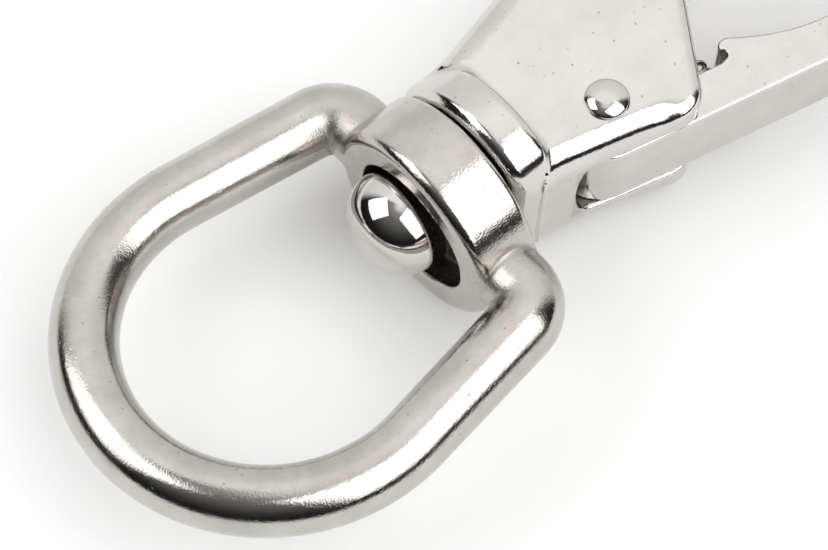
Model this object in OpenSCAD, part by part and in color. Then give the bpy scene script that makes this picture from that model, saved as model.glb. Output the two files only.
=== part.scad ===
// Swivel snap hook: a forged bail turns on a headed pin in the collar of a
// flat-sided hook, and a sprung gate on a cross rivet closes the hook's mouth.
// Frame: X is the swivel axis from the bail to the hook's crown, Y lies in the
// hook's own plane toward its spine, Z is square to the flat faces. The origin
// is the centre of the bail's bow. Millimetres.

/* [Bail] */
// centreline radius of the bow
bow_r = 16.8; // [15:0.1:18]
// diameter of the round bar at the bow
bar_d = 6.4; // [5.5:0.1:6.6]
// half distance between the leg centrelines at the elbows
leg_y = 14.4; // [13.8:0.1:15]
// X of the elbow's start
elbow_x = 16.65; // [16:0.05:17]
// bend radius of each elbow, to the centreline
elbow_r = 3.4; // [3.3:0.1:3.6]
// turn of the bail about the swivel axis as it lies, degrees
bail_turn = -6; // [-30:1:30]

/* [Hub] */
// hub radius
hub_r = 10; // [9.5:0.1:11]
// hub length along the swivel axis
hub_len = 6.6; // [6:0.1:8]
// X of the hub's middle
hub_x = 19.5; // [19.2:0.1:20]
// radius of the recess round the pin's head
recess_r = 6.7; // [6:0.1:7.4]
// depth of the recess
recess_d = 3; // [2:0.1:3.4]
// radial clearance of the pin in the hub's bore
hub_fit = 0.08; // [0.05:0.01:0.1]

/* [Swivel pin] */
// shank radius
shank_r = 3.2; // [2.8:0.1:3.6]
// head radius
head_r = 5.1; // [4.6:0.1:5.4]
// X where the head's side ends and its dome starts
dome_x = 15.1; // [14:0.1:16]
// X of the dome's top
dome_top = 11.4; // [11:0.1:12.5]
// how far the peened head sits off the shank's axis, toward the spine
head_off = 1.2; // [0:0.1:1.4]
// X of the shank's far end
shank_end = 29.2; // [28:0.1:29.4]

/* [Hook body] */
// thickness across the flat faces
body_t = 15.4; // [14.6:0.1:16]
// radius of the rounded outer edges
edge_r = 3; // [2:0.1:3]
// collar radius
collar_r = 10.1; // [9.8:0.1:10.6]
// X of the collar's front face
collar_x = 23.15; // [23:0.05:23.4]
// X of the collar's back face
collar_end = 27.8; // [27:0.1:28.2]
// distance of the flat on the gate side from the swivel axis
flat_y = 6.8; // [6.4:0.1:7.2]
// slope of the spine, degrees from the swivel axis
spine_a = 13.4; // [12:0.1:14]
// width of the spine bar
spine_w = 10.5; // [9.5:0.1:11]
// X and Y of the crown's outer centre
crown_x = 75.9; // [75:0.1:77]
crown_y = 1.4; // [1.2:0.1:1.6]
// outer radius of the crown
crown_r = 18.6; // [18.4:0.1:19]
// inner radius of the bowl
bowl_r = 10.9; // [10.5:0.1:11]
// slope of the throat face, degrees from the swivel axis
throat_a = 56.8; // [54:0.1:60]
// corner radius between the throat face and the spine
throat_r = 6; // [5:0.1:8]
// height of the slot between the cheeks
slot_h = 8.8; // [8.6:0.1:9.2]
// X of the slot's closed end
slot_x = 30.3; // [30.2:0.1:30.8]
// Y of the slot's inner wall
slot_y = 1.2; // [1.1:0.1:1.5]

/* [Gate] */
// X and Y of the pivot
pivot_x = 35.45; // [35.3:0.05:35.6]
pivot_y = -4.35; // [-4.45:0.05:-4.25]
// slope of the gate's outer face, degrees below the swivel axis
gate_a = 12.54; // [12:0.02:13]
// gate thickness
gate_t = 8.4; // [8:0.1:8.4]
// heel radius about the pivot, also the distance to the outer face
heel_r = 4.2; // [4:0.05:4.3]
// distance from the pivot to the tip
gate_len = 43.1; // [42.6:0.1:43.2]
// radial clearance of the rivet in the gate's bore
gate_fit = 0.06; // [0.03:0.01:0.1]

/* [Rivet] */
// shank radius
rivet_r = 1.5; // [1.2:0.05:1.6]
// head radius
rivet_head_r = 2.1; // [2:0.05:2.4]
// head height
rivet_head_h = 0.95; // [0.7:0.05:1.2]

/* [Spring] */
// mean coil radius
coil_r = 1.3; // [1.2:0.02:1.36]
// wire diameter
wire_d = 0.55; // [0.45:0.05:0.6]
// X of the spring's axis
spring_x = 46.5; // [46.4:0.1:46.6]
// Y of the spring's end at the gate and of the seat in the body
spring_y0 = -6.05; // [-6.1:0.05:-5.9]
spring_y1 = 7.1; // [6.5:0.1:7.1]
// number of coils
coils = 7.5; // [6:0.5:8]

/* [Hidden] */
$fn = 96;
eps = 0.01;
flats = 6; // flats in each eased edge
lap = 0.05; // overlap where the crown joins the spine
steel = [0.78, 0.77, 0.75];
steel_worn = [0.74, 0.73, 0.71];
steel_bright = [0.88, 0.88, 0.87];
zt = body_t / 2;
proud = 0.03; // how far the crown and the throat's web stand out of the slab
zp = zt + proud;
bar_r = bar_d / 2;

// directions of the spine, its outward normal, the throat and the gate
sp_e = [cos(spine_a), sin(spine_a)];
sp_n = [-sin(spine_a), cos(spine_a)];
th_e = [cos(throat_a), sin(throat_a)];
throat_n = [-sin(throat_a), cos(throat_a)];

// crown: outer circle, and a bowl set off toward the nose
crown_c = [crown_x, crown_y];
bowl_off = spine_w - (crown_r - bowl_r);
bowl_c = crown_c - bowl_off * sp_n;
join_out = crown_c + crown_r * sp_n;
join_in = bowl_c + bowl_r * sp_n;

// gate side of the body: flat, then flared out to the throat corner
side_x = 29.1;
side_s = 0.268;
throat_p = [43.6, -8];
corner_x = (throat_p[0] * tan(throat_a) - throat_p[1] - flat_y + side_s * side_x)
    / (tan(throat_a) + side_s);
corner = [corner_x, -flat_y - side_s * (corner_x - side_x)];
side_a = atan(side_s);
// the corner itself is rounded in plan to the edge radius, as short flats
corner_turn = throat_a + side_a;
corner_run = edge_r * tan(corner_turn / 2);
corner_c = corner - corner_run * [cos(side_a), -sin(side_a)] + edge_r * [sin(side_a), cos(side_a)];
corner_n = 4;
corner_pts = [for (i = [0 : corner_n]) let (t = -90 - side_a + corner_turn * i / corner_n)
    corner_c + edge_r * [cos(t), sin(t)]];

// where the throat face meets the spine's inner line
t_in = ((join_in[0] - throat_p[0]) * sp_n[0] + (join_in[1] - throat_p[1]) * sp_n[1])
    / (th_e[0] * sp_n[0] + th_e[1] * sp_n[1]);
inner = throat_p + t_in * th_e;
inner_tan = throat_r * tan((throat_a - spine_a) / 2);
throat_c = inner + inner_tan * sp_e - throat_r * sp_n;

// bail: the legs are tangent to the bow
leg_d = norm([elbow_x, leg_y]);
leg_t = atan2(leg_y, elbow_x) + acos(bow_r / leg_d);
leg_p = bow_r * [cos(leg_t), sin(leg_t)];
leg_h = atan2(leg_y - leg_p[1], elbow_x - leg_p[0]);
leg_len = norm([elbow_x, leg_y] - leg_p);
elbow_c = [elbow_x + elbow_r * sin(leg_h), leg_y - elbow_r * cos(leg_h)];
swell = 0.04; // growth of the bar's radius from one length to the next
ease = 0.3; // degrees that a bend runs on into its neighbour
hub_x0 = hub_x - hub_len / 2;
hub_x1 = hub_x + hub_len / 2;
floor_x = hub_x0 + recess_d;
head_seat = floor_x - 0.1;

// gate, in its own frame: U along the bar from the pivot, V toward the spine
boss_v = 2.15;
bar_v = -0.1;
lap_v = -2.2;
lap_u = 39.2;
notch_u0 = 8;
notch_u1 = 12.8;
notch_v = 0.05;
slope_n = 8;
// eased run from the boss down to the bar
slope_pts = [for (i = [0 : slope_n]) let (s = i / slope_n)
    [14 + 9 * s, boss_v + (bar_v - boss_v) * (1 - pow(1 - s, 1.9))]];

// beak of the nose, in the gate's frame
beak_u = 39.6;
beak_v = -2.35;
nose_u = 43.5;

// ---- helpers ----
module in_gate() translate([pivot_x, pivot_y, 0]) rotate(-gate_a) children();

// solid turned about the swivel axis from an [x, radius] outline
module about_x(pts) rotate([90, 0, 90]) rotate_extrude() polygon([for (p = pts) [p[1], p[0]]]);

// waste outside the eased edge from p to q, on both faces; the round is cut
// as flats, and e0 and e1 run the cut on past its ends
module edge_waste(p, q, r, e0 = 0, e1 = 0) {
    d = q - p;
    for (m = [0, 1]) mirror([0, 0, m]) translate([p[0], p[1], 0]) rotate(atan2(d[1], d[0]))
        translate([-e0, 0, 0]) rotate([90, 0, 90]) linear_extrude(norm(d) + e0 + e1)
            polygon(concat([[-1, zt - r], [-1, zt + 1], [r, zt + 1]],
                [for (i = [0 : flats]) [r - r * sin(i * 90 / flats), zt - r + r * cos(i * 90 / flats)]]));
}

// disc with rounded rims, h above and below the middle plane
module puck(c, rad, h, r) translate([c[0], c[1], 0]) rotate_extrude($fn = 180) {
    translate([0, -h]) square([rad - r, 2 * h]);
    translate([0, r - h]) square([rad, 2 * (h - r)]);
    for (s = [-1, 1]) translate([rad - r, s * (h - r)]) circle(r);
}

// through hole with rounded lips
module lipped_hole(c, rad, h, r) translate([c[0], c[1], 0]) rotate_extrude($fn = 180) {
    translate([0, -h - 1]) square([rad, 2 * h + 2]);
    for (s = [0, 1]) mirror([0, s]) difference() {
        translate([rad - eps, h - r]) square([r + eps, r + 1]);
        translate([rad + r, h - r]) circle(r);
    }
}

// ---- bail ----
// each length is a little thicker than the one before, as it nears the hub
module bail_bar() {
    rotate(leg_t - ease) rotate_extrude(angle = 360 - 2 * (leg_t - ease), $fn = 180)
        translate([bow_r, 0]) circle(bar_r);
    for (m = [0, 1]) mirror([0, m, 0]) {
        translate([leg_p[0], leg_p[1], 0]) rotate(leg_h) rotate([0, 90, 0])
            cylinder(r = bar_r + swell, h = leg_len + 2 * swell);
        translate([elbow_c[0], elbow_c[1], 0]) {
            rotate(-2 * ease) rotate_extrude(angle = 90 + leg_h + 2 * ease)
                translate([elbow_r, 0]) circle(bar_r + 2 * swell);
            translate([elbow_r, 0, 0]) rotate([90, 0, 0])
                cylinder(r = bar_r + 3 * swell, h = 3);
        }
    }
}

module bail() color(steel_worn) rotate([bail_turn, 0, 0]) difference() {
    union() {
        bail_bar();
        about_x([[hub_x0, 0], [hub_x0, hub_r - 0.75], [hub_x0 + 0.75, hub_r],
            [hub_x1 - 0.4, hub_r], [hub_x1, hub_r - 0.4], [hub_x1, 0]]);
    }
    about_x([[hub_x0 - 1, 0], [hub_x0 - 1, recess_r + 0.4], [hub_x0, recess_r + 0.4],
        [hub_x0 + 0.5, recess_r], [floor_x, recess_r], [floor_x, 0]]);
    translate([hub_x0, 0, 0]) rotate([0, 90, 0]) cylinder(r = shank_r + hub_fit, h = hub_len + 1);
}

// ---- swivel pin: shank, head and dome ----
module swivel_pin() color(steel_bright) {
    dome_h = dome_x - dome_top;
    dome_r = (head_r * head_r + dome_h * dome_h) / (2 * dome_h);
    translate([head_seat - 1, 0, 0]) rotate([0, 90, 0])
        cylinder(r = shank_r, h = shank_end - head_seat + 1);
    translate([0, head_off, 0]) {
        translate([dome_x, 0, 0]) rotate([0, 90, 0]) cylinder(r = head_r, h = head_seat - dome_x);
        intersection() {
            translate([dome_top + dome_r, 0, 0]) rotate([0, 90, 0]) sphere(r = dome_r);
            translate([dome_top - 1, 0, 0]) rotate([0, 90, 0]) cylinder(r = head_r, h = dome_h + 1);
        }
    }
}

// ---- hook body ----
module collar() difference() {
    about_x([[collar_x, 0], [collar_x, collar_r - 0.9], [collar_x + 0.9, collar_r],
        [collar_end - 0.3, collar_r], [collar_end, collar_r - 0.3], [collar_end, 0]]);
    translate([collar_x - 1, -flat_y - 10, -20]) cube([collar_end - collar_x + 2, 10, 40]);
}

module slab() {
    x0 = collar_end - 1.8;
    top0 = join_out - (join_out[0] - x0) / sp_e[0] * sp_e;
    difference() {
        translate([0, 0, -zt]) linear_extrude(body_t) polygon(concat(
            [[x0, -flat_y], [side_x, -flat_y]], corner_pts, [inner, join_in, join_out, top0]));
        edge_waste([x0, -flat_y], [side_x, -flat_y], edge_r, 1, 0.8);
        edge_waste([side_x, -flat_y], corner_pts[0], edge_r, 0.8, 0);
        for (i = [1 : corner_n]) edge_waste(corner_pts[i - 1], corner_pts[i], edge_r);
        edge_waste(corner_pts[corner_n], inner, edge_r, 0, 2);
        edge_waste(inner, join_in, edge_r, 2, 1);
        edge_waste(join_out, top0, edge_r, 1, 1);
    }
    // fill the inside corner between the throat and the spine
    difference() {
        translate([0, 0, -zp]) linear_extrude(2 * zp) polygon([
            inner - inner_tan * th_e - throat_n, inner + inner_tan * sp_e - sp_n,
            inner + inner_tan * sp_e + 4 * sp_n,
            inner + 6 * sp_n, inner - inner_tan * th_e + 4 * throat_n]);
        lipped_hole(throat_c, throat_r - proud, zp, edge_r);
    }
}

module crown() difference() {
    intersection() {
        puck(crown_c, crown_r + proud, zp, edge_r);
        translate([0, 0, -zt - 1]) linear_extrude(body_t + 2) polygon([
            join_in - 2 * sp_n - lap * sp_e, join_out + 2 * sp_n - lap * sp_e,
            join_out + 2 * sp_n + 60 * sp_e,
            [crown_x + 30, crown_y - 50], [pivot_x, crown_y - 50],
            nose_low, nose_step, nose_in, nose_top]);
    }
    lipped_hole(bowl_c, bowl_r - proud, zp, edge_r);
    // faces taper toward the nose
    for (m = [0, 1]) mirror([0, 0, m])
        translate([60, 3, zp]) rotate([6.5, 0, 0]) translate([0, -40, 0]) cube([50, 40, 10]);
}

// corners of the nose's stepped end in the hook's plane
function g2(u, v) = [pivot_x + u * cos(gate_a) + v * sin(gate_a),
    pivot_y - u * sin(gate_a) + v * cos(gate_a)];
nose_low = g2(beak_u, -30);
nose_step = g2(beak_u, beak_v);
nose_in = g2(nose_u, beak_v);
nose_top = g2(nose_u, 14);

module slot() difference() {
    translate([slot_x, slot_y - 30, -slot_h / 2]) cube([40, 30, slot_h]);
    // keep the closed end rounded into the cheeks
    for (m = [0, 1]) mirror([0, 0, m]) difference() {
        translate([slot_x - 1, slot_y - 31, slot_h / 2 - 1]) cube([2, 32, 2]);
        translate([slot_x + 1, slot_y + 2, slot_h / 2 - 1]) rotate([90, 0, 0]) cylinder(r = 1, h = 34);
    }
}

module hook_body() color(steel) difference() {
    union() {
        collar();
        slab();
        crown();
    }
    slot();
    translate([collar_x - 1, 0, 0]) rotate([0, 90, 0])
        cylinder(r = shank_r, h = shank_end + 0.2 - collar_x + 1);
    translate([pivot_x, pivot_y, -zt - 1]) cylinder(r = rivet_r, h = body_t + 2);
    translate([spring_x, spring_y1 + 0.1, 0]) rotate([90, 0, 0])
        cylinder(r = coil_r + wire_d / 2 + 0.3, h = spring_y1 - slot_y + 2);
}

// ---- gate ----
module gate() color(steel_worn) in_gate() difference() {
    union() {
        cylinder(r = heel_r, h = gate_t, center = true);
        translate([0, 0, -gate_t / 2]) linear_extrude(gate_t) polygon(concat(
            [[0, -heel_r], [lap_u, -heel_r], [lap_u, lap_v], [gate_len, lap_v],
             [gate_len, bar_v]],
            [for (i = [slope_n : -1 : 0]) slope_pts[i]],
            [[13.5, boss_v], [13, boss_v - 0.3], [notch_u1, boss_v - 0.8], [notch_u1, notch_v],
             [notch_u0, notch_v], [notch_u0, boss_v], [3.4, 2.47]]));
    }
    cylinder(r = rivet_r + gate_fit, h = gate_t + 1, center = true);
    // relief at the foot of the notch's wall
    translate([notch_u1, notch_v + 0.65, 0]) cylinder(r = 0.5, h = gate_t + 1, center = true, $fn = 48);
}

// ---- gate rivet ----
module gate_rivet() color(steel_bright) translate([pivot_x, pivot_y, 0]) {
    cylinder(r = rivet_r, h = body_t, center = true);
    cap_r = (rivet_head_r * rivet_head_r + rivet_head_h * rivet_head_h) / (2 * rivet_head_h);
    for (m = [0, 1]) mirror([0, 0, m]) intersection() {
        translate([0, 0, zt + rivet_head_h - cap_r]) sphere(r = cap_r);
        translate([0, 0, zt]) cylinder(r = rivet_head_r, h = 2);
    }
}

// ---- gate spring: one wire swept along a helix with closed ends ----
ring_n = 6;
turn_n = 18;
steps = floor(coils * turn_n);
y_a = spring_y0 + wire_d / 2;
y_b = spring_y1 - wire_d / 2;
// the first and last turn lie nearly flat
function rise(t) = let (e = 1 / coils, flat = wire_d * 1.05 / (y_b - y_a))
    t < e ? flat * t / e : t > 1 - e ? 1 - flat * (1 - t) / e
        : flat + (1 - 2 * flat) * (t - e) / (1 - 2 * e);
function wire_at(t) = [spring_x + coil_r * cos(360 * coils * t),
    y_a + (y_b - y_a) * rise(t), coil_r * sin(360 * coils * t)];
function ring(i) = let (t = i / steps, a = 360 * coils * t, c = wire_at(t), n = [cos(a), 0, sin(a)])
    [for (k = [0 : ring_n - 1]) let (b = 360 * k / ring_n)
        c + wire_d / 2 * (cos(b) * n + sin(b) * [0, 1, 0])];
module gate_spring() color(steel_bright) polyhedron(
    points = [for (i = [0 : steps]) each ring(i)],
    faces = concat(
        [[for (k = [0 : ring_n - 1]) k]],
        [for (i = [0 : steps - 1]) for (k = [0 : ring_n - 1])
            [i * ring_n + k, (i + 1) * ring_n + k,
             (i + 1) * ring_n + (k + 1) % ring_n, i * ring_n + (k + 1) % ring_n]],
        [[for (k = [ring_n - 1 : -1 : 0]) steps * ring_n + k]]));

bail();
swivel_pin();
hook_body();
gate();
gate_rivet();
gate_spring();
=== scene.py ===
"""Swivel snap hook on a pale table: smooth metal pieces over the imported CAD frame."""

from math import acos, atan2, cos, hypot, pi, radians, sin, tan

import bpy
import numpy as np
from mathutils import Matrix, Vector


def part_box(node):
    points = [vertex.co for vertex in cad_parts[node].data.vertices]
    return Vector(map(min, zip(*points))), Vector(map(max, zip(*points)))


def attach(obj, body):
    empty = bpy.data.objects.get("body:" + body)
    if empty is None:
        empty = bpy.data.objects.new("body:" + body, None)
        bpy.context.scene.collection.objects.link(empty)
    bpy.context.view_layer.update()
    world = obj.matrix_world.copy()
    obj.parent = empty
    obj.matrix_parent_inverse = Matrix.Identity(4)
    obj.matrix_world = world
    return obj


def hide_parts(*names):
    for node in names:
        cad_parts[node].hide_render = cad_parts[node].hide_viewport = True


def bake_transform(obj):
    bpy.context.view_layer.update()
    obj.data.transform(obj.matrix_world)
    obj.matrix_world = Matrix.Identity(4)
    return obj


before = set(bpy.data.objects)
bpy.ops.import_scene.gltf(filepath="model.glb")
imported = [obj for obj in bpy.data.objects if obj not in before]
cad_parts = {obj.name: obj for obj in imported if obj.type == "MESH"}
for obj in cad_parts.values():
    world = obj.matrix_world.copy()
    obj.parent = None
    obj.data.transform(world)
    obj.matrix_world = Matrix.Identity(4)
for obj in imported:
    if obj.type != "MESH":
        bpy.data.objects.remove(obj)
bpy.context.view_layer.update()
MM = 0.001
COS_45 = 0.7071

# ---------------------------------------------------------------- sizes, mm
# bail: bow, legs, elbows and bar; hub and its recess
BOW_R, LEG_Y, ELBOW_X, ELBOW_R = 16.8, 14.4, 16.65, 3.4
BAR_R0, BAR_R1 = 3.2, 3.3
BAIL_TURN = radians(-6)
HUB_X0, HUB_X1, HUB_R, HUB_CHAMFER = 16.2, 22.8, 10.0, 0.75
RECESS_R, RECESS_X, BORE_FIT = 6.7, 19.2, 0.08
BORE_X = 8.0  # the recess and the bore are cut from here on, clear of the bow
# swivel pin: shank and head, the head off the shank's axis
SHANK_R, HEAD_R, DOME_X, DOME_TOP, SHANK_END = 3.2, 5.1, 15.1, 11.4, 29.2
HEAD_OFF, HEAD_SEAT = 1.2, 19.1
# hook body: half thickness and outer edge, then the collar and how softly it
# meets the plate, at most and beside the flat
HALF_T, EDGE_R = 7.7, 3.0
COLLAR_R, COLLAR_X0, COLLAR_X1, FLAT_Y = 10.1, 23.15, 27.8, 6.8
COLLAR_CHAMFER, COLLAR_BACK, COLLAR_CORNER = 0.95, 1.1, 3.4
COLLAR_X0_EDGE, COLLAR_FLUSH = 0.2, 0.3
JOIN_SOFT, JOIN_FLUSH = 0.7, 0.1
# spine, crown, bowl and throat
SPINE_A, SPINE_W = radians(13.4), 10.5
CROWN_C, CROWN_R, BOWL_R = np.array([75.9, 1.4]), 18.6, 10.9
THROAT_A, THROAT_R, THROAT_P = radians(56.8), 6.0, np.array([43.6, -8.0])
THROAT_EDGE = 1.1
# gate side: how far it stands out past the flat, where it starts to flare, slope
SIDE_OUT, SIDE_X, SIDE_S = 0.15, 29.1, 0.268
SIDE_IN, SIDE_DROP = 0.5, 0.4  # its edge reaches in less and drops further
NOSE_X, NOSE_THIN, NOSE_EDGE, NOSE_LIP = 60, 2.2, 1.2, 0.6
SLOT_X, SLOT_Y, SLOT_H, SLOT_BOW = 30.3, 1.2, 4.4, 0.9
# gate: pivot and slope, heel, boss, bar, lap and the spring's notch
PIVOT, GATE_A = np.array([35.45, -4.35]), radians(12.54)
GATE_H, HEEL_R, GATE_LEN, GATE_EDGE, GATE_FIT = 4.2, 4.2, 43.1, 0.24, 0.06
BOSS_V, BAR_V, LAP_U, LAP_V = 2.15, -0.1, 39.2, -2.2
NOTCH_U0, NOTCH_U1, NOTCH_V, NOTCH_R, BOSS_R = 8.0, 12.8, 0.05, 0.5, 0.85
BOSS_U, BOSS_RUN = 14, 9
BEAK_U, BEAK_V, NOSE_U = 39.6, -2.35, 43.5
# rivet, spring, and the spring's seat in the body
RIVET_R, RIVET_HEAD_R, RIVET_HEAD_H = 1.5, 2.1, 0.95
COIL_R, WIRE_R, COILS, SEAT_R = 1.3, 0.275, 7.5, 2.0
SPRING_X, SPRING_Y0, SPRING_Y1 = 46.5, -6.05, 7.1


# ------------------------------------------------------- distance functions
def smin(a, b, k):
    """Union of two distances with a blend k wide."""
    h = np.maximum(k - np.abs(a - b), 0.0) / k
    return np.minimum(a, b) - h * h * k * 0.25


def smax(a, b, k):
    """Intersection of two distances with a blend k wide."""
    return -smin(-a, -b, k)


def unit(t):
    """t held between 0 and 1."""
    return np.clip(t, 0.0, 1.0)


def eased(t):
    """0 to 1 with level ends."""
    t = unit(t)
    return t * t * (3 - 2 * t)


def segment(x, y, z, p, q):
    """Distance to the segment from p to q, both in the plane z = 0."""
    dx, dy = q[0] - p[0], q[1] - p[1]
    t = np.clip(((x - p[0]) * dx + (y - p[1]) * dy) / (dx * dx + dy * dy), 0.0, 1.0)
    return np.sqrt((x - p[0] - t * dx) ** 2 + (y - p[1] - t * dy) ** 2 + z * z)


def polygon_2d(x, y, pts):
    """Signed distance to a closed outline, negative inside."""
    d = np.full(np.broadcast(x, y).shape, 1e9)
    s = np.ones(d.shape, bool)
    n = len(pts)
    for i in range(n):
        (ax, ay), (bx, by) = pts[i], pts[i - 1]
        ex, ey = bx - ax, by - ay
        if ex * ex + ey * ey < 1e-12:
            continue
        wx, wy = x - ax, y - ay
        t = np.clip((wx * ex + wy * ey) / (ex * ex + ey * ey), 0.0, 1.0)
        d = np.minimum(d, (wx - ex * t) ** 2 + (wy - ey * t) ** 2)
        c1, c2, c3 = y >= ay, y < by, ex * wy > ey * wx
        s ^= (c1 & c2 & c3) | (~c1 & ~c2 & ~c3)
    return np.where(s, 1.0, -1.0) * np.sqrt(d)


def slab(d2, z, half, r, drop=None):
    """A flat plate of outline distance d2 whose edges are eased by a quarter
    ellipse that reaches r in from the outline and drop down from the face."""
    drop = r if drop is None else drop
    a, b = d2 + r, np.abs(z) - (half - drop)
    a0, b0 = np.maximum(a, 0.0), np.maximum(b, 0.0)
    g = np.hypot(a0 / r, b0 / drop)
    slope = np.hypot(a0 / r**2, b0 / drop**2)
    outside = (g - 1) * g / np.maximum(slope, 1e-6)
    return np.where((a > 0) | (b > 0), outside, np.maximum(a - r, b - drop))


def arc_pts(c, r, a0, a1, n):
    """n points on a circle, from angle a0 to a1."""
    return [(c[0] + r * cos(a), c[1] + r * sin(a)) for a in np.linspace(a0, a1, n)]


# ------------------------------------------------------------------- bail
LEG_T = atan2(LEG_Y, ELBOW_X) + acos(BOW_R / hypot(ELBOW_X, LEG_Y))
LEG_P = (BOW_R * cos(LEG_T), BOW_R * sin(LEG_T))
LEG_H = atan2(LEG_Y - LEG_P[1], ELBOW_X - LEG_P[0])
ELBOW_C = (ELBOW_X + ELBOW_R * sin(LEG_H), LEG_Y - ELBOW_R * cos(LEG_H))
STUB_X = ELBOW_C[0] + ELBOW_R


def bail_sdf(x, y, z):
    """Bow, legs, elbows and stubs as one bar, joined to the bored hub."""
    c, s = cos(-BAIL_TURN), sin(-BAIL_TURN)
    y, z = y * c - z * s, y * s + z * c
    ya = np.abs(y)
    bow = np.hypot(np.hypot(x, ya) - BOW_R, z)
    bow = np.where(np.arctan2(ya, x) >= LEG_T, bow, 1e3)
    leg = segment(x, ya, z, LEG_P, (ELBOW_X, LEG_Y))
    turn = np.arctan2(ya - ELBOW_C[1], x - ELBOW_C[0])
    bend = np.hypot(np.hypot(x - ELBOW_C[0], ya - ELBOW_C[1]) - ELBOW_R, z)
    bend = np.where((turn >= 0) & (turn <= pi / 2 + LEG_H), bend, 1e3)
    stub = segment(x, ya, z, (STUB_X, ELBOW_C[1]), (STUB_X, 7.6))
    line = np.minimum(np.minimum(bow, leg), np.minimum(bend, stub))
    bar = line - (BAR_R0 + (BAR_R1 - BAR_R0) * unit(x / ELBOW_X))
    rho = np.hypot(y, z)
    hub = smax(smax(rho - HUB_R, x - HUB_X1, 0.6), HUB_X0 - x, 0.3)
    hub = smax(hub, (rho + HUB_X0 - x - HUB_R + HUB_CHAMFER) * COS_45, 0.35)
    solid = smin(bar, hub, 0.4)
    recess = np.maximum(smax(rho - RECESS_R, x - RECESS_X, 0.5), BORE_X - x)
    solid = smax(solid, -recess, 0.4)
    bore = np.maximum(rho - SHANK_R - BORE_FIT, BORE_X - x)
    return smax(solid, -bore, 0.5)


# -------------------------------------------------------------- hook body
SP_E = np.array([cos(SPINE_A), sin(SPINE_A)])
SP_N = np.array([-sin(SPINE_A), cos(SPINE_A)])
TH_E = np.array([cos(THROAT_A), sin(THROAT_A)])
TH_N = np.array([-sin(THROAT_A), cos(THROAT_A)])
BOWL_C = CROWN_C - (SPINE_W - (CROWN_R - BOWL_R)) * SP_N
JOIN_OUT, JOIN_IN = CROWN_C + CROWN_R * SP_N, BOWL_C + BOWL_R * SP_N
GATE_E = np.array([cos(GATE_A), -sin(GATE_A)])
GATE_N = np.array([sin(GATE_A), cos(GATE_A)])


def gate_xy(u, v):
    """The hook's plane from the gate's own U and V."""
    return PIVOT + u * GATE_E + v * GATE_N


def gate_uv(x, y):
    """The gate's own U and V from the hook's plane."""
    dx, dy = x - PIVOT[0], y - PIVOT[1]
    return dx * GATE_E[0] + dy * GATE_E[1], dx * GATE_N[0] + dy * GATE_N[1]


def side_corner(flat):
    """Centre of the rounded corner between the gate side and the throat face."""
    lean, slope = atan2(SIDE_S, 1), tan(THROAT_A)
    x = (THROAT_P[0] * slope - THROAT_P[1] - flat + SIDE_S * SIDE_X) / (slope + SIDE_S)
    corner = np.array([x, -flat - SIDE_S * (x - SIDE_X)])
    run = EDGE_R * tan((THROAT_A + lean) / 2)
    centre = corner - run * np.array([cos(lean), -sin(lean)])
    return centre + EDGE_R * np.array([sin(lean), cos(lean)])


def meets_gate_line(centre, radius, point):
    """Angle at which a circle crosses the line through point square to the gate."""
    reach = np.dot(point - centre, GATE_E)
    return atan2(-GATE_N[1], -GATE_N[0]) + atan2(reach, (radius**2 - reach**2) ** 0.5)


def body_outline():
    """The hook body in its own plane, without the collar: counter-clockwise."""
    x0 = COLLAR_X1 - 1.8
    flat = FLAT_Y + SIDE_OUT
    lean = atan2(SIDE_S, 1)
    pts = [(x0, -FLAT_Y), (COLLAR_X1, -FLAT_Y), (SIDE_X - 0.5, -flat + 0.05)]
    pts += [(SIDE_X + 0.3, -flat - SIDE_S * 0.42)]
    pts += arc_pts(side_corner(flat), EDGE_R, -pi / 2 - lean, THROAT_A - pi / 2, 12)
    # up the throat and round its top into the spine
    along = np.dot(JOIN_IN - THROAT_P, SP_N) / np.dot(TH_E, SP_N)
    top = THROAT_P + along * TH_E + THROAT_R * tan((THROAT_A - SPINE_A) / 2) * SP_E
    pts += arc_pts(top - THROAT_R * SP_N, THROAT_R, THROAT_A + pi / 2, SPINE_A + pi / 2, 12)
    # round the bowl to the nose, whose stepped end the gate laps
    end = meets_gate_line(BOWL_C, BOWL_R, gate_xy(NOSE_U, 0))
    pts += arc_pts(BOWL_C, BOWL_R, SPINE_A + pi / 2, end, 56)
    pts += [tuple(gate_xy(NOSE_U, BEAK_V)), tuple(gate_xy(BEAK_U, BEAK_V))]
    # back round the crown and down the spine
    start = meets_gate_line(CROWN_C, CROWN_R, gate_xy(BEAK_U, 0))
    pts += arc_pts(CROWN_C, CROWN_R, start, SPINE_A + pi / 2, 72)
    return pts + [tuple(JOIN_OUT - (JOIN_OUT[0] - x0) / SP_E[0] * SP_E)]


OUTLINE = body_outline()


def plate_sdf(x, y, z):
    """The flat-sided part; the ease of its edges varies from place to place."""
    # faces taper and edges tighten toward the nose
    low = np.where(x > NOSE_X, eased((3.0 - y) / 20.0), 0.0)
    lip = unit((NOSE_U - gate_uv(x, y)[0] + 2.5) / 2.5)
    edge = EDGE_R - NOSE_EDGE * low - NOSE_LIP * lip * low
    # the throat's own edge is much crisper than the outside
    inside = (x - THROAT_P[0]) * TH_N[0] + (y - THROAT_P[1]) * TH_N[1]
    throat = (x < NOSE_X) * unit((9 - y) / 4)
    near = eased(unit((4.0 - inside) / 3.8) * throat)
    side = unit((2.0 - y) / 4.0) * unit((NOSE_X + 2 - x) / 4.0) * (1 - near)
    edge = edge - (EDGE_R - THROAT_EDGE) * near - SIDE_IN * side
    full = 1 - throat * (1 - eased((inside - 0.3) / 6.0))
    drop = THROAT_EDGE + (edge + SIDE_DROP * side - THROAT_EDGE) * full
    return slab(polygon_2d(x, y, OUTLINE), z, HALF_T - NOSE_THIN * low, edge, drop)


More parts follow.
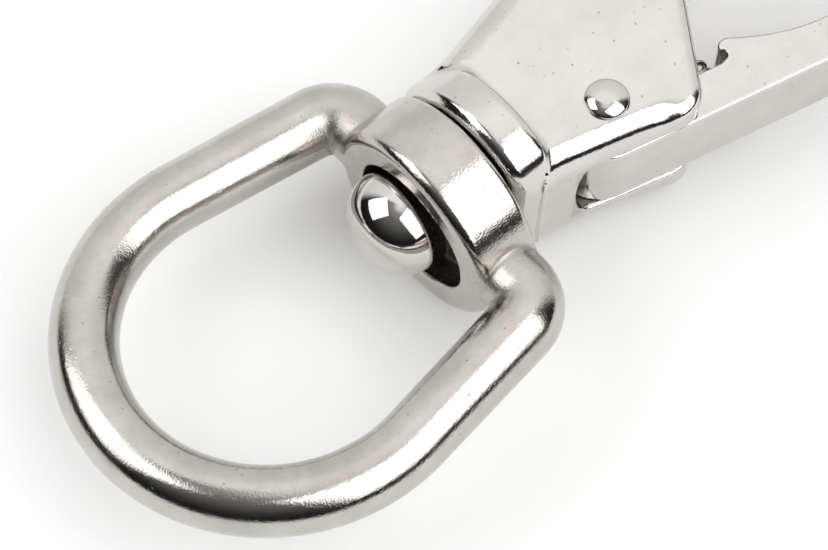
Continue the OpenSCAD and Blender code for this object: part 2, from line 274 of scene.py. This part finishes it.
def collar_sdf(x, y, z):
    """The round collar with its flat; its back edge is crisp beside the flat."""
    rho = np.hypot(y, z)
    back = COLLAR_BACK - (COLLAR_BACK - COLLAR_FLUSH) * unit((-4.0 - y) / 2.0)
    collar = smax(smax(rho - COLLAR_R, x - COLLAR_X1, back), COLLAR_X0 - x, COLLAR_X0_EDGE)
    collar = smax(collar, (rho + COLLAR_X0 - x - COLLAR_R + COLLAR_CHAMFER) * COS_45, 0.3)
    return smax(collar, -FLAT_Y - y, COLLAR_CORNER)


def body_sdf(x, y, z):
    """Plate and collar, less the gate's slot, the rivet's and pin's bores and the
    spring's seat."""
    blend = JOIN_SOFT - (JOIN_SOFT - JOIN_FLUSH) * unit((-4.5 - y) / 2.0)
    solid = smin(plate_sdf(x, y, z), collar_sdf(x, y, z), blend)
    end = SLOT_X + SLOT_BOW * (z / SLOT_H) ** 2 - 0.2 - x
    slot = smax(smax(np.abs(z) - SLOT_H, y - SLOT_Y, 0.6), end, 1.2)
    solid = smax(solid, -np.maximum(slot, x - NOSE_X), 0.45)
    solid = smax(solid, RIVET_R - np.hypot(x - PIVOT[0], y - PIVOT[1]), 0.05)
    seat = np.maximum(np.hypot(x - SPRING_X, z) - SEAT_R, y - SPRING_Y1 - 0.1)
    solid = smax(solid, -np.maximum(seat, -1.0 - y), 0.3)
    bore = np.maximum(np.hypot(y, z) - SHANK_R, x - SHANK_END - 0.2)
    return smax(solid, -bore, 0.05)


# ------------------------------------------------------------------- gate
def gate_outline():
    """The gate in its own plane, from the pivot: U along the bar, V toward the spine."""
    pts = [(-0.2, -HEEL_R), (LAP_U, -HEEL_R), (LAP_U, LAP_V)]
    pts += [(GATE_LEN, LAP_V), (GATE_LEN, BAR_V)]
    # the boss runs down to the bar in a hollow curve
    pts += [
        (BOSS_U + BOSS_RUN * s, BOSS_V + (BAR_V - BOSS_V) * (1 - (1 - s) ** 1.9))
        for s in np.linspace(1, 0, 14)
    ]
    pts += arc_pts((NOTCH_U1 + BOSS_R, BOSS_V - BOSS_R), BOSS_R, pi / 2, pi, 9)
    floor = NOTCH_V + NOTCH_R
    pts += arc_pts((NOTCH_U1 - NOTCH_R, floor), NOTCH_R, 0, -pi / 2, 5)
    pts += arc_pts((NOTCH_U0 + NOTCH_R, floor), NOTCH_R, -pi / 2, -pi, 5)
    pts += [(NOTCH_U0, BOSS_V - 0.3), (NOTCH_U0 - 0.3, BOSS_V)]
    heel = atan2(2.47, 3.4)  # where the boss's top meets the heel's circle
    return pts + arc_pts((0, 0), HEEL_R, heel, 3 * pi / 2 - 0.03, 36)


GATE_OUTLINE = gate_outline()


def gate_sdf(x, y, z):
    """The gate's plate, with a relief at the foot of the notch's wall and a bore."""
    u, v = gate_uv(x, y)
    solid = slab(polygon_2d(u, v, GATE_OUTLINE), z, GATE_H, GATE_EDGE)
    relief = np.hypot(u - NOTCH_U1, v - NOTCH_V - 0.65) - NOTCH_R
    solid = smax(solid, -relief, 0.12)
    return smax(solid, RIVET_R + GATE_FIT - np.hypot(u, v), 0.1)


# ------------------------------------------------------------- mesh makers
BLOCK = 8  # grid cells along each side of a block


def sample(sdf, lo, step, blocks):
    """The distance on a grid, worked out only in the blocks near the surface."""
    field = np.full(blocks * BLOCK + 1, 1e3, np.float32)
    reach = 0.95 * step * BLOCK + 0.6
    ax = [lo[i] + step * BLOCK * (np.arange(blocks[i]) + 0.5) for i in range(3)]
    mid = sdf(ax[0][:, None, None], ax[1][None, :, None], ax[2][None, None, :])
    mid = np.broadcast_to(mid, tuple(blocks))
    for i, j, k in np.argwhere(mid <= -reach) * BLOCK:
        field[i : i + BLOCK + 1, j : j + BLOCK + 1, k : k + BLOCK + 1] = -1e3
    near = np.argwhere(np.abs(mid) < reach)
    r = np.arange(BLOCK + 1)
    for part in np.array_split(near, max(1, len(near) // 400)):
        base = part * BLOCK
        g = [lo[i] + step * (base[:, i, None] + r) for i in range(3)]
        val = sdf(g[0][:, :, None, None], g[1][:, None, :, None], g[2][:, None, None, :])
        val = np.broadcast_to(val, (len(part), BLOCK + 1, BLOCK + 1, BLOCK + 1))
        for (i, j, k), cube in zip(base, val):
            field[i : i + BLOCK + 1, j : j + BLOCK + 1, k : k + BLOCK + 1] = cube
    return field


def net(field, n):
    """Surface nets: a vertex in each cell that the surface crosses, in grid units,
    and a quad for each grid edge that it crosses."""
    inside = field < 0
    total = np.zeros(tuple(n) + (3,), np.float32)
    count = np.zeros(tuple(n), np.int8)
    quads = []
    for a in range(3):
        first, second = [slice(None)] * 3, [slice(None)] * 3
        first[a], second[a] = slice(0, -1), slice(1, None)
        first, second = tuple(first), tuple(second)
        cross = inside[first] != inside[second]
        idx = np.argwhere(cross)
        pos = idx.astype(np.float32)
        pos[:, a] += field[first][cross] / (field[first][cross] - field[second][cross])
        b, c = (a + 1) % 3, (a + 2) % 3
        ok = (idx[:, b] > 0) & (idx[:, c] > 0) & (idx[:, b] < n[b]) & (idx[:, c] < n[c])
        idx, pos = idx[ok], pos[ok]
        outward = inside[first][cross][ok]
        cells = []
        for ob, oc in ((1, 1), (0, 1), (0, 0), (1, 0)):
            cell = idx.copy()
            cell[:, b] -= ob
            cell[:, c] -= oc
            np.add.at(total, tuple(cell.T), pos)
            np.add.at(count, tuple(cell.T), 1)
            cells.append(np.ravel_multi_index(tuple(cell.T), tuple(n)))
        q = np.stack(cells, 1)
        quads.append(np.where(outward[:, None], q, q[:, ::-1]))
    used = np.flatnonzero(count.ravel())
    lookup = np.full(count.size, -1, np.int64)
    lookup[used] = np.arange(len(used))
    verts = total.reshape(-1, 3)[used] / count.ravel()[used][:, None]
    return verts.astype(float), lookup[np.vstack(quads)]


def gradient(sdf, p, e=0.01):
    """The direction in which the distance grows, as unit vectors."""
    g = [(sdf(*(p + e * d).T) - sdf(*(p - e * d).T)) / (2 * e) for d in np.eye(3)]
    g = np.stack(g, 1)
    return g / np.maximum(np.linalg.norm(g, axis=1), 1e-6)[:, None]


def surface(name, sdf, lo, hi, step):
    """Quads on the zero surface of sdf over a box. Each vertex is drawn onto the
    surface and given the surface's own normal."""
    lo, hi = np.array(lo, float), np.array(hi, float)
    blocks = np.ceil((hi - lo) / (step * BLOCK)).astype(int)
    v, quads = net(sample(sdf, lo, step, blocks), blocks * BLOCK)
    v = lo + step * v
    for _ in range(2):
        move = np.clip(sdf(*v.T), -step, step)
        v = v - gradient(sdf, v) * move[:, None]
    return mesh_piece(name, v, quads, gradient(sdf, v))


def mesh_piece(name, verts, faces, normals=None):
    """A smooth mesh object from points in mm and quads."""
    mesh = bpy.data.meshes.new(name)
    mesh.vertices.add(len(verts))
    mesh.vertices.foreach_set("co", (np.asarray(verts, np.float32) * MM).ravel())
    mesh.loops.add(faces.size)
    mesh.loops.foreach_set("vertex_index", faces.ravel().astype(np.int32))
    mesh.polygons.add(len(faces))
    width = faces.shape[1]
    start = np.arange(len(faces), dtype=np.int32) * width
    mesh.polygons.foreach_set("loop_start", start)
    mesh.update(calc_edges=True)
    mesh.validate()
    mesh.polygons.foreach_set("use_smooth", np.ones(len(mesh.polygons), bool))
    if normals is not None and len(mesh.vertices) == len(normals):
        mesh.normals_split_custom_set_from_vertices(normals.tolist())
    obj = bpy.data.objects.new(name, mesh)
    bpy.context.collection.objects.link(obj)
    return obj


def tube_quads(rings, count):
    """Quads between rings of count points each."""
    k = np.arange(count)
    p = (np.arange(rings - 1)[:, None] * count + k).ravel()
    q = (np.arange(rings - 1)[:, None] * count + (k + 1) % count).ravel()
    return np.stack([p, q, q + count, p + count], 1)


def lathe(name, profile, axis, origin, count):
    """Turns an [along, radius] profile, with a point at each end, about an axis."""
    a = np.linspace(0, 2 * pi, count, endpoint=False)
    along = {"X": (0, 1, 2), "Z": (2, 0, 1)}[axis]
    rings = []
    for h, r in profile:
        ring = np.zeros((count, 3))
        ring[:, along[0]] = h
        ring[:, along[1]] = r * np.cos(a)
        ring[:, along[2]] = r * np.sin(a)
        rings.append(ring + np.array(origin))
    faces = tube_quads(len(profile), count)
    if profile[-1][0] < profile[0][0]:
        faces = faces[:, ::-1]
    return mesh_piece(name, np.vstack(rings), faces)


def sweep(name, path, normals, radius, sides=16):
    """A round wire along a path, closed at both ends."""
    verts = []
    a = np.linspace(0, 2 * pi, sides, endpoint=False)
    tang = np.gradient(path, axis=0)
    tang /= np.linalg.norm(tang, axis=1)[:, None]
    for p, n, t in zip(path, normals, tang):
        n = n - t * np.dot(n, t)
        n /= np.linalg.norm(n)
        b = np.cross(t, n)
        verts.append(p + radius * (np.outer(np.cos(a), n) + np.outer(np.sin(a), b)))
    caps = []
    for end, flip in ((0, True), (len(path) - 1, False)):
        ring = end * sides + np.arange(sides)
        for i in range(sides // 2 - 1):
            quad = [ring[i], ring[i + 1], ring[sides - 2 - i], ring[sides - 1 - i]]
            caps.append(quad[::-1] if flip else quad)
    return mesh_piece(name, np.vstack(verts), np.vstack([tube_quads(len(path), sides), caps]))


# ------------------------------------------------------------------ pieces
def box_mm(name, grow=1.2):
    """A node's box, a little larger, in mm."""
    lo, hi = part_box(name)
    return np.array(lo) / MM - grow, np.array(hi) / MM + grow


def points_mm(obj):
    """A mesh's vertices in mm, one row each."""
    p = np.empty(len(obj.data.vertices) * 3, np.float32)
    obj.data.vertices.foreach_get("co", p)
    return p.reshape(-1, 3).astype(float) / MM


def store(obj, name, values):
    """Keeps one number for each vertex, for the materials to read."""
    attr = obj.data.attributes.new(name, "FLOAT", "POINT")
    attr.data.foreach_set("value", values.astype(np.float32))


def curvature(obj, sdf, reach=0.5):
    """How sharply the surface bends: above 0 on edges, below 0 in creases."""
    p = points_mm(obj)
    around = sum(sdf(*(p + s * reach * e).T) for e in np.eye(3) for s in (1, -1))
    store(obj, "edge", (around - 6 * sdf(*p.T)) / reach)


def mark(obj, name, depth):
    """Stores 0 to 1: depth says how far inside a zone a point lies."""
    store(obj, name, unit(depth(*points_mm(obj).T)))


def grown(name, node, body, sdf, step):
    """A piece grown from its distance function, in place of a CAD node."""
    obj = surface(name, sdf, *box_mm(node), step)
    curvature(obj, sdf)
    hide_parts(node)
    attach(obj, body)
    return obj


# zone of painted shade, and extra roughness: inside the hub's recess
def recess_shade_zone(x, y, z):
    return 2 * np.minimum(RECESS_R + 0.2 - np.hypot(y, z), x - HUB_X0 - 0.1)


def elbow_zone(x, y, z):
    """Where the elbows run into the hub, and the forging keeps its grain."""
    away = np.sqrt((x - STUB_X) ** 2 + (np.abs(y) - 11.0) ** 2 + (z * 0.8) ** 2)
    return 1.6 - away / 3.4


# zone of painted shade, and extra roughness: inside the gate's slot
def slot_shade_zone(x, y, z):
    between = np.minimum((SLOT_H + 0.1 - np.abs(z)) * 3, (y + 8.0) / 2.5)
    along = np.minimum((x - SLOT_X + 0.7) * 1.6, (56 - x) / 4)
    return np.minimum(between, np.minimum(along, (SLOT_Y + 0.7 - y) * 2))


TIP = 0.0001  # radius at which a turned profile closes, mm


def pin_profile():
    """Domed head, its underside, the shank and the end riveted inside the body."""
    depth = DOME_X + 0.9 - DOME_TOP
    turn = np.linspace(0, 1, 26) * pi / 2
    dome = [(DOME_TOP + depth * (1 - cos(a)), HEAD_R * sin(a) ** 0.86) for a in turn]
    dome[0] = (DOME_TOP, TIP)
    under = [
        (HEAD_SEAT - 0.45, HEAD_R),
        (HEAD_SEAT - 0.13, HEAD_R - 0.13),
        (HEAD_SEAT, HEAD_R - 0.45),
    ]
    shank = [
        (HEAD_SEAT, SHANK_R + 0.2),
        (HEAD_SEAT + 0.15, SHANK_R),
        (24.0, SHANK_R),
        (SHANK_END - 0.3, SHANK_R),
    ]
    return dome + under + shank + [(SHANK_END, SHANK_R - 0.3), (SHANK_END, TIP)]


def shift_head(obj):
    """The peened head stands off the shank's axis."""
    at = np.empty(len(obj.data.vertices) * 3, np.float32)
    obj.data.vertices.foreach_get("co", at)
    at = at.reshape(-1, 3)
    at[:, 1] += (at[:, 0] < (HEAD_SEAT + 0.05) * MM) * HEAD_OFF * MM
    obj.data.vertices.foreach_set("co", at.ravel())
    obj.data.update()


def rivet_profile():
    """Domed head, shank and domed head."""
    turn = np.linspace(0, 1, 18) * pi / 2
    half = [(HALF_T + RIVET_HEAD_H * cos(a), RIVET_HEAD_R * sin(a)) for a in turn]
    half[0] = (HALF_T + RIVET_HEAD_H, TIP)
    half += [(HALF_T - 0.02, RIVET_HEAD_R - 0.05), (HALF_T - 0.05, RIVET_R), (0.0, RIVET_R)]
    return half + [(-h, r) for h, r in half[::-1][1:]]


def spring_wire():
    """Points along the wire and outward directions: the end coils lie close."""
    closed = 0.8  # turns at each end that rise by no more than the wire
    angle = np.linspace(0, COILS * 2 * pi, int(COILS * 40))
    turn = angle / (2 * pi)
    span = SPRING_Y1 - SPRING_Y0 - 2 * WIRE_R
    low = closed * 2 * WIRE_R / span
    open_part = low + unit((turn - closed) / (COILS - 2 * closed)) * (1 - 2 * low)
    last = 1 - (COILS - turn) / closed * low
    rise = np.where(turn > COILS - closed, last, open_part)
    rise = np.where(turn < closed, turn / closed * low, rise)
    out = np.stack([np.cos(angle), 0 * angle, np.sin(angle)], 1)
    axis = np.stack([SPRING_X + 0 * rise, SPRING_Y0 + WIRE_R + span * rise, 0 * rise], 1)
    return axis + COIL_R * out, out


bail = grown("bail_forged", "bail", "bail", bail_sdf, 0.25)
body = grown("body_cast", "hook_body", "hook", body_sdf, 0.3)
gate = grown("gate_cast", "gate", "gate", gate_sdf, 0.17)
# the hub's recess and the gate's slot are stored as masks for painted shade and extra
# roughness
mark(bail, "hollow_shade", recess_shade_zone)
mark(bail, "matte", elbow_zone)
mark(body, "hollow_shade", slot_shade_zone)

pin = lathe("swivel_pin_turned", pin_profile(), "X", (0, 0, 0), 144)
shift_head(pin)
rivet = lathe("gate_rivet_domed", rivet_profile(), "Z", (*PIVOT, 0), 96)
spring = sweep("gate_spring_coil", *spring_wire(), WIRE_R)

for piece, node, slot in (
    (pin, "swivel_pin", "pin_steel"),
    (rivet, "gate_rivet", "rivet_steel"),
    (spring, "gate_spring", "spring_steel"),
):
    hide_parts(node)
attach(pin, "hook")
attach(rivet, "hook")
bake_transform(spring)


# --------------------------------------------------------------- materials
def node(tree, kind, **values):
    """A new node; each value sets the input of that name, or else a property."""
    n = tree.nodes.new(kind)
    for key, value in values.items():
        if key in n.inputs:
            n.inputs[key].default_value = value
        else:
            setattr(n, key, value)
    return n


def ramp(tree, source, stops):
    """A colour ramp on source; a stop is its place and a grey or a colour."""
    n = node(tree, "ShaderNodeValToRGB")
    e = n.color_ramp.elements
    for i, (at, value) in enumerate(stops):
        el = e[i] if i < 2 else e.new(at)
        el.position = at
        el.color = (*value, 1) if isinstance(value, tuple) else (value, value, value, 1)
    tree.links.new(source, n.inputs["Fac"])
    return n.outputs["Color"]


# noise and cell sizes, per metre
CLOUD_SCALE, GRIT_SCALE, COARSE_SCALE, PIT_SCALE = 230, 5200, 1900, 1100
BUMP_DEPTH = 0.00002
EDGE_WEAR = 0.3


def shade(colour, by):
    return tuple(min(1.0, c * by) for c in colour)


def steel(name, base, stain, rough, grain, pits):
    """Bare stainless: cloudy tone, fine cast grain, tiny round pits, bright worn edges,
    creases that are rougher and darkened with painted shade, and hollows darkened
    with painted shade and left rougher."""
    mat = bpy.data.materials.new(name)
    mat.use_nodes = True
    t = mat.node_tree
    t.nodes.clear()
    link = t.links.new
    co = node(t, "ShaderNodeTexCoord").outputs["Object"]

    def noise(scale, detail=4.0, roughness=0.55):
        n = node(t, "ShaderNodeTexNoise", Scale=scale, Detail=detail, Roughness=roughness)
        link(co, n.inputs["Vector"])
        return n.outputs["Fac"]

    def math(op, a, b=0.0):
        n = node(t, "ShaderNodeMath", operation=op)
        for i, value in enumerate((a, b)):
            if isinstance(value, (int, float)):
                n.inputs[i].default_value = value
            else:
                link(value, n.inputs[i])
        return n.outputs[0]

    def mix(fac, a, b):
        n = node(t, "ShaderNodeMix", data_type="RGBA")
        for i, value in ((0, fac), (6, a), (7, b)):
            if isinstance(value, tuple):
                n.inputs[i].default_value = (*value, 1)
            else:
                link(value, n.inputs[i])
        return n.outputs[2]

    def attribute(name):
        return node(t, "ShaderNodeAttribute", attribute_name=name).outputs["Fac"]

    cloud = ramp(t, noise(CLOUD_SCALE, 6.0, 0.6), [(0.34, 0.0), (0.68, 1.0)])
    grit = noise(GRIT_SCALE, 2.0, 0.5)
    coarse = noise(COARSE_SCALE, 2.0, 0.5)
    colour = mix(cloud, stain, base)
    # round pits: small cells, most of them left empty
    cells = node(t, "ShaderNodeTexVoronoi", Scale=PIT_SCALE)
    link(co, cells.inputs["Vector"])
    spot = ramp(t, cells.outputs["Distance"], [(0.06, 1.0), (0.17, 0.0)])
    split = node(t, "ShaderNodeSeparateXYZ")
    link(cells.outputs["Color"], split.inputs["Vector"])
    some = ramp(t, split.outputs["X"], [(0.6, 0.0), (1.0, 1.0)])
    pit = math("MULTIPLY", math("MULTIPLY", spot, some), pits)
    colour = mix(pit, colour, shade(stain, 0.35))
    bend = attribute("edge")
    worn = math("MULTIPLY", ramp(t, bend, [(0.35, 0.0), (1.4, 1.0)]), EDGE_WEAR)
    colour = mix(worn, colour, shade(base, 1.15))
    # creases stay rougher, as a polishing wheel does not reach into them, and their colour is
    # darkened with painted shade
    dull_crease_and_shade = math("MAXIMUM", math("MULTIPLY", bend, -0.9), 0.0)
    dull_crease_and_shade = math("MINIMUM", dull_crease_and_shade, 1.0)
    colour = mix(math("MULTIPLY", dull_crease_and_shade, 0.4), colour, shade(stain, 0.6))
    hollow_shade_mask, matte = attribute("hollow_shade"), attribute("matte")
    # painted shade: the hub's recess and the gate's slot are darkened almost to black
    colour = mix(math("MULTIPLY", hollow_shade_mask, 0.8), colour, shade(stain, 0.12))

    r = math("MULTIPLY", math("SUBTRACT", 0.5, cloud), rough * 0.5)
    r = math("ADD", math("MULTIPLY", math("SUBTRACT", coarse, 0.5), rough * 0.6), r)
    r = math("ADD", math("ADD", r, rough), math("MULTIPLY", pit, 0.25))
    r = math("SUBTRACT", r, math("MULTIPLY", worn, rough * 0.5))
    for zone, amount in ((hollow_shade_mask, 0.3), (dull_crease_and_shade, 0.3), (matte, 0.2)):
        r = math("ADD", r, math("MULTIPLY", zone, amount))
    r = math("MAXIMUM", r, 0.03)

    bsdf = node(t, "ShaderNodeBsdfPrincipled")
    bsdf.inputs["Metallic"].default_value = 1.0
    link(colour, bsdf.inputs["Base Color"])
    link(r, bsdf.inputs["Roughness"])
    height = math("MULTIPLY", coarse, 0.45 * min(grain, 0.66))
    height = math("ADD", math("MULTIPLY", grit, math("ADD", matte, 0.6 * grain)), height)
    height = math("SUBTRACT", height, math("MULTIPLY", pit, 1.5))
    bump = node(t, "ShaderNodeBump", Strength=1.0, Distance=BUMP_DEPTH)
    link(height, bump.inputs["Height"])
    link(bump.outputs["Normal"], bsdf.inputs["Normal"])
    o = node(t, "ShaderNodeOutputMaterial")
    link(bsdf.outputs["BSDF"], o.inputs["Surface"])
    return mat


# base and stain colours: forged bail, cast parts, turned parts, wire
FORGED = (0.56, 0.535, 0.50), (0.46, 0.438, 0.405)
CAST = (0.66, 0.637, 0.61), (0.60, 0.578, 0.552)
TURNED = (0.64, 0.62, 0.59), (0.57, 0.55, 0.52)
WIRE = (0.5, 0.48, 0.46), (0.4, 0.38, 0.36)
# each piece's name and colours, then its roughness, grain and pits
FINISHES = (
    (bail, "bail_finish", FORGED, 0.14, 1.35, 0.6),
    (body, "body_finish", CAST, 0.10, 0.7, 0.7),
    (gate, "gate_finish", CAST, 0.10, 0.7, 0.6),
    (pin, "pin_finish", TURNED, 0.06, 0.12, 0.2),
    (rivet, "rivet_finish", TURNED, 0.07, 0.15, 0.3),
    (spring, "spring_finish", WIRE, 0.12, 0.1, 0.1),
)
for piece, name, colours, rough, grain, pits in FINISHES:
    piece.data.materials.clear()
    piece.data.materials.append(steel(name, *colours, rough, grain, pits))


# ----------------------------------------------------------- floor and light
SHEET_CELLS, SHEET_HALF = 48, 600  # cells across, and half its width in mm
SHEET_Z, SHEET_SLOPE = -10.16, 0.0369  # height under the collar's end, and rise along X


def table():
    """A pale sheet that slopes up a little to touch the collar and the crown."""
    n = SHEET_CELLS
    k = np.linspace(-1, 1, n + 1)
    k = np.sign(k) * np.abs(k) ** 1.5 * SHEET_HALF
    x, y = np.meshgrid(k, k, indexing="ij")
    verts = np.stack([x, y, SHEET_Z + SHEET_SLOPE * (x - COLLAR_X1)], -1).reshape(-1, 3)
    a = (np.arange(n)[:, None] * (n + 1) + np.arange(n)).ravel()
    sheet = mesh_piece("table_sheet", verts, np.stack([a, a + n + 1, a + n + 2, a + 1], 1))
    mat = bpy.data.materials.new("table_white")
    mat.use_nodes = True
    t = mat.node_tree
    bsdf = t.nodes["Principled BSDF"]
    bsdf.inputs["Roughness"].default_value = 0.55
    bsdf.inputs["Specular IOR Level"].default_value = 0.25
    bsdf.inputs["Emission Color"].default_value = (1.0, 0.995, 0.985, 1)
    bsdf.inputs["Emission Strength"].default_value = 0.10
    tex = node(t, "ShaderNodeTexNoise", Scale=30.0, Detail=3.0)
    t.links.new(node(t, "ShaderNodeTexCoord").outputs["Object"], tex.inputs["Vector"])
    stops = [(0.3, (0.86, 0.86, 0.855)), (0.7, (0.9, 0.9, 0.9))]
    t.links.new(ramp(t, tex.outputs["Fac"], stops), bsdf.inputs["Base Color"])
    sheet.data.materials.append(mat)


BACKDROP = radians(46)  # bearing of the middle of the white backdrop
LOWEST = -0.2  # sine of the lowest height angle that the room's shades cover
# sine of the height angle and brightness, in front of the object and behind it
ROOM = [
    (-0.2, 0.05),
    (0.0, 0.012),
    (0.26, 0.02),
    (0.5, 0.07),
    (0.85, 0.2),
    (0.96, 0.36),
    (1.0, 1.1),
]
BACK = [(-0.2, 0.9), (0.2, 0.95), (0.7, 1.05), (0.9, 1.3), (1.0, 1.2)]
SEEN = 0.9  # brightness of the surround where the camera sees it


def sky():
    """A white backdrop behind the object and a darker room in front of it."""
    world = bpy.data.worlds.new("studio")
    bpy.context.scene.world = world
    world.use_nodes = True
    t = world.node_tree
    t.nodes.clear()
    link = t.links.new
    co = node(t, "ShaderNodeTexCoord").outputs["Generated"]

    def vector(op, source, other=None):
        n = node(t, "ShaderNodeVectorMath", operation=op)
        link(source, n.inputs[0])
        if other is not None:
            n.inputs[1].default_value = other
        return n

    def span(source, low, high, kind="LINEAR"):
        n = node(t, "ShaderNodeMapRange", interpolation_type=kind)
        n.inputs["From Min"].default_value = low
        n.inputs["From Max"].default_value = high
        link(source, n.inputs["Value"])
        return n.outputs["Result"]

    def mix(fac, a, b):
        n = node(t, "ShaderNodeMix", data_type="RGBA")
        link(fac, n.inputs[0])
        link(a, n.inputs[6])
        if isinstance(b, tuple):
            n.inputs[7].default_value = b
        else:
            link(b, n.inputs[7])
        return n.outputs[2]

    sep = node(t, "ShaderNodeSeparateXYZ")
    link(co, sep.inputs["Vector"])
    height = span(sep.outputs["Z"], LOWEST, 1.0)
    room, back = (
        ramp(t, height, [((z - LOWEST) / (1 - LOWEST), c) for z, c in shades])
        for shades in (ROOM, BACK)
    )
    bearing = vector("NORMALIZE", vector("MULTIPLY", co, (1.0, 1.0, 0.0)).outputs["Vector"])
    toward = (cos(BACKDROP), sin(BACKDROP), 0.0)
    toward = vector("DOT_PRODUCT", bearing.outputs["Vector"], toward).outputs["Value"]
    around = mix(span(toward, 0.34, 0.62, "SMOOTHSTEP"), room, back)
    camera_ray = node(t, "ShaderNodeLightPath").outputs["Is Camera Ray"]
    bg = node(t, "ShaderNodeBackground", Strength=1.0)
    link(mix(camera_ray, around, (SEEN, SEEN, SEEN, 1)), bg.inputs["Color"])
    out = node(t, "ShaderNodeOutputWorld")
    link(bg.outputs["Background"], out.inputs["Surface"])


LIGHT_AIM = Vector((0.02, 0, 0))  # the point that the lights stand round


def softbox(name, azimuth, height, distance, half_w, half_h, radiance):
    """A rectangular light at a bearing and height angle, half_w by half_h degrees."""
    light = bpy.data.lights.new(name, "AREA")
    light.shape = "RECTANGLE"
    light.size = 2 * distance * tan(radians(half_w))
    light.size_y = 2 * distance * tan(radians(half_h))
    light.energy = radiance * pi * light.size * light.size_y
    obj = bpy.data.objects.new(name, light)
    bpy.context.collection.objects.link(obj)
    a, h = radians(azimuth), radians(height)
    place = Vector((cos(a) * cos(h), sin(a) * cos(h), sin(h)))
    obj.location = place * distance + LIGHT_AIM
    obj.rotation_euler = (-place).to_track_quat("-Z", "Y").to_euler()


table()
sky()
softbox("front_box", -76, 48, 0.9, 27, 30, 2.4)
softbox("side_box", 138, 41, 0.9, 20, 21, 2.2)
bpy.context.scene.view_settings.view_transform = "Standard"

# ------------------------------------------------------------------ camera
CAMERA_AT = Vector((-94.5, -113.31, 324.36)) * MM
CAMERA_TURN, CAMERA_DIP, CAMERA_ROLL = radians(-44.576), radians(64.645), radians(4.25)
CAMERA_LENS = 173.9  # mm, on a 36 mm wide sensor


def place_camera():
    """Turned about Z, dipped below the horizon, then rolled about its own view."""
    data = bpy.data.cameras.new("camera")
    data.sensor_width, data.sensor_fit, data.lens = 36.0, "HORIZONTAL", CAMERA_LENS
    data.clip_start, data.clip_end = 0.01, 20.0
    camera = bpy.data.objects.new("camera", data)
    bpy.context.collection.objects.link(camera)
    az, dip = CAMERA_TURN, CAMERA_DIP
    forward = Vector((-sin(az) * cos(dip), cos(az) * cos(dip), -sin(dip)))
    level = Vector((cos(az), sin(az), 0))
    right = level * cos(CAMERA_ROLL) + level.cross(forward) * sin(CAMERA_ROLL)
    axes = Matrix((right, right.cross(forward), -forward)).transposed()
    camera.matrix_world = Matrix.Translation(CAMERA_AT) @ axes.to_4x4()
    bpy.context.scene.camera = camera


place_camera()
